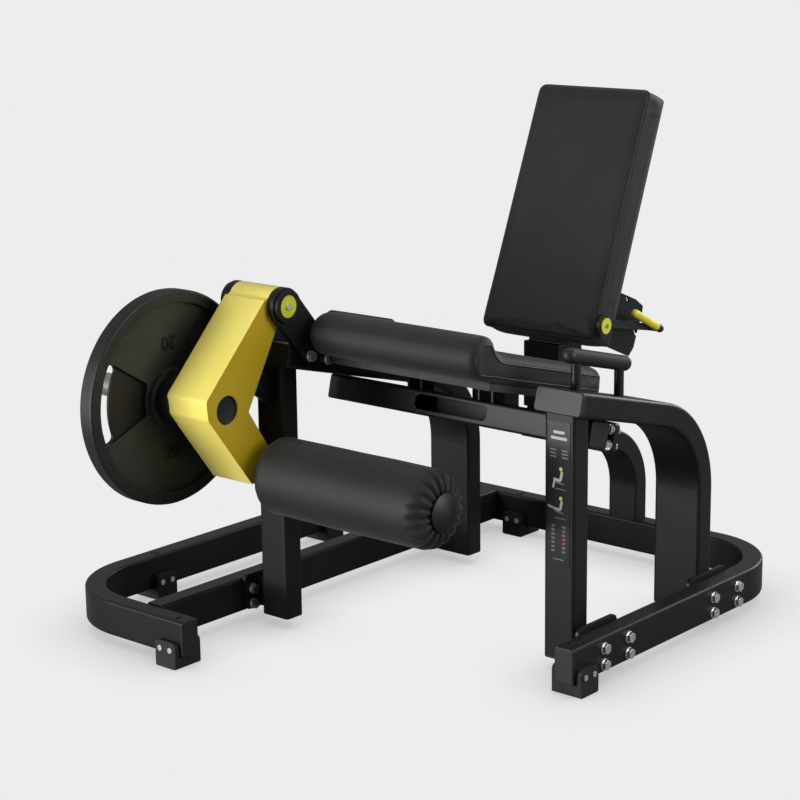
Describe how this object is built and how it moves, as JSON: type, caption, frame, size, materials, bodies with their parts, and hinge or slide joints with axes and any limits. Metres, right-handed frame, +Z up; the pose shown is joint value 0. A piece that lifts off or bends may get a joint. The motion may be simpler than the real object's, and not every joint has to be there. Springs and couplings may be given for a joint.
{
  "type": "leg extension machine",
  "caption": "Plate-loaded seated leg extension machine: tubular frame, padded seat, sliding backrest, pivoting lever with shin roller and weight horn.",
  "frame": {"origin": "on the floor, below the centre of the whole machine's footprint box", "axes": "+Z up, the sitter faces -Y, +X towards the sitter's left hand with the weight plate on the -X side"},
  "size_m": [1.1544, 1.3262, 1.1189],
  "materials": {
    "frame_black": "satin fine-texture black powder coat",
    "lever_yellow": "semi-gloss lemon-yellow powder coat",
    "hub_yellow": "gloss lime-yellow paint",
    "black_plastic": "moulded black plastic",
    "black_rubber": "matte rubber",
    "zinc": "bright zinc plate",
    "bare_steel": "ground steel",
    "bronze": "sintered bronze",
    "upholstery": "matte black leatherette",
    "plywood": "black-stained plywood",
    "foam_core": "plastic tube",
    "plate_iron": "charcoal enamel",
    "grip_yellow": "lemon-yellow rubberised grip",
    "sign": "printed plate"
  },
  "bodies": {
    "frame": {"left_base_tube": "frame_black", "rear_base_tube": "frame_black", "middle_base_beam": "frame_black", "tube_end_caps": "black_plastic", "base_feet": "black_rubber", "small_screws": "zinc", "tube_plugs": "black_plastic", "left_arch": "frame_black", "right_arch": "frame_black", "front_posts": "frame_black", "post_flanges": "frame_black", "post_foot_caps": "black_plastic", "rail_front_caps": "black_plastic", "frame_bolts": "zinc", "frame_washers": "zinc", "frame_nuts": "zinc", "cross_tube": "frame_black", "seat_beam": "frame_black", "rear_leg": "frame_black", "beam_joint_plates": "frame_black", "pivot_cheeks": "frame_black", "pivot_bosses": "frame_black", "pivot_caps": "hub_yellow", "pivot_shaft": "bare_steel", "stop_bracket": "frame_black", "stop_buffer": "black_rubber", "seat_board": "plywood", "seat_cushion": "upholstery", "seat_brackets": "frame_black", "handle_bars": "frame_black", "handle_grips": "black_rubber", "handle_end_domes": "black_plastic", "instruction_plate": "sign"},
    "lever": {"lever_box": "lever_yellow", "lever_cross_tubes": "lever_yellow", "pivot_bushes": "bronze", "weight_horn": "bare_steel", "horn_collar": "frame_black", "horn_end_cap": "black_plastic", "roller_axle": "bare_steel", "roller_axle_nut": "zinc"},
    "roller": {"roller_core": "foam_core", "roller_pad": "upholstery", "roller_end_cap": "black_plastic"},
    "plate": {"weight_plate": "plate_iron", "plate_insert": "bare_steel"},
    "back_carriage": {"backrest_cushion": "upholstery", "backrest_board": "plywood", "backrest_bracket": "frame_black", "carriage_neck": "frame_black", "carriage_sleeve": "frame_black", "carriage_liners": "black_plastic", "pin_housing": "bare_steel", "release_bracket": "frame_black", "release_pivot_pin": "bare_steel", "lock_spring": "bare_steel"},
    "release": {"release_lever": "black_plastic", "release_hub_cover": "hub_yellow", "release_grip": "grip_yellow"},
    "pin": {"lock_pin": "bare_steel"}
  },
  "joints": [
    {"name": "lever_swing", "type": "hinge", "parent": "frame", "child": "lever", "pos_m": [-0.1765, -0.27413, 0.713], "axis": [-1, 0, 0], "range_deg": [0, 90]},
    {"name": "roller_spin", "type": "hinge", "parent": "lever", "child": "roller", "pos_m": [0.122, -0.31412, 0.367], "axis": [1, 0, 0], "continuous": true},
    {"name": "plate_slide", "type": "slide", "parent": "lever", "child": "plate", "axis": [-1, 0, 0], "range_m": [0, 0.25]},
    {"name": "backrest_slide", "type": "slide", "parent": "frame", "child": "back_carriage", "axis": [0, -0.9511, 0.309], "range_m": [-0.04, 0.06]},
    {"name": "release_pull", "type": "hinge", "parent": "back_carriage", "child": "release", "pos_m": [0.302, 0.26687, 0.635], "axis": [1, 0, 0], "range_deg": [0, 15], "stiffness_Nm_per_rad": 0.6, "springref_deg": -5},
    {"name": "pin_lift", "type": "slide", "parent": "back_carriage", "child": "pin", "axis": [0, 0.309, 0.9511], "range_m": [0, 0.011], "deforming": ["lock_spring"]}
  ],
  "couplings": [
    {"joint": "pin_lift", "follows": "release_pull", "m_per_rad": 0.040107}
  ]
}
